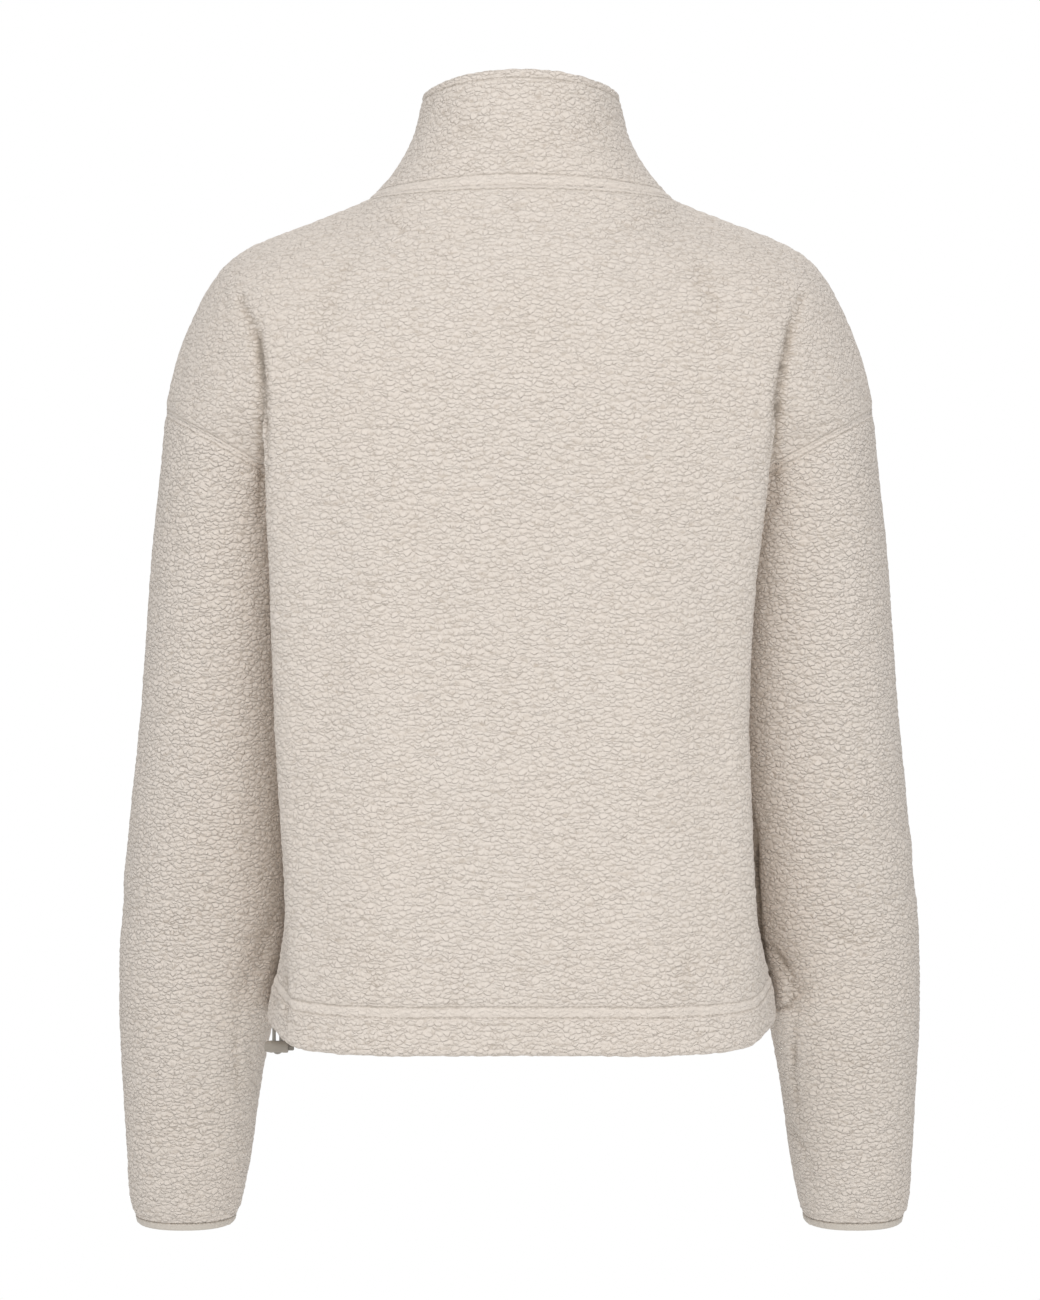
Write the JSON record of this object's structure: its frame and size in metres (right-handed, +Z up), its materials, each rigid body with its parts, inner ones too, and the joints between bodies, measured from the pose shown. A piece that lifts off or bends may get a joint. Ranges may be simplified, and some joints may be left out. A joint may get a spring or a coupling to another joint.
{
  "type": "pile fleece pullover",
  "caption": "Fleece pullover with a high stand collar, dropped shoulders, long sleeves with bound cuffs and a drawcord hem with a cord lock, filled out as worn.",
  "frame": {"origin": "base of the neck opening, midway between the shoulder seams' neck ends, where the wearer's shoulders hold the garment", "axes": "+Z up along the body, +Y ahead of the wearer, +X to the wearer's right"},
  "size_m": [0.5352, 0.2584, 0.7665],
  "materials": {
    "fleece": "deep curly pile, matt with a soft sheen",
    "binding": "smooth elastic binding, matt",
    "cord": "braided elastic cord",
    "lock": "fine moulded matt"
  },
  "bodies": {
    "garment": {"back": "fleece", "front": "fleece", "sleeve_right": "fleece", "sleeve_left": "fleece", "collar": "fleece", "cuff_binding_right": "binding", "cuff_binding_left": "binding", "drawcord": "cord", "lock_barrel": "lock"},
    "lock_button": {"lock_plunger": "lock"}
  },
  "joints": [
    {"name": "button_press", "type": "slide", "parent": "garment", "child": "lock_button", "axis": [-1, 0, 0], "range_m": [0, 0.002], "stiffness_N_per_m": 200, "springref_m": -0.002}
  ]
}
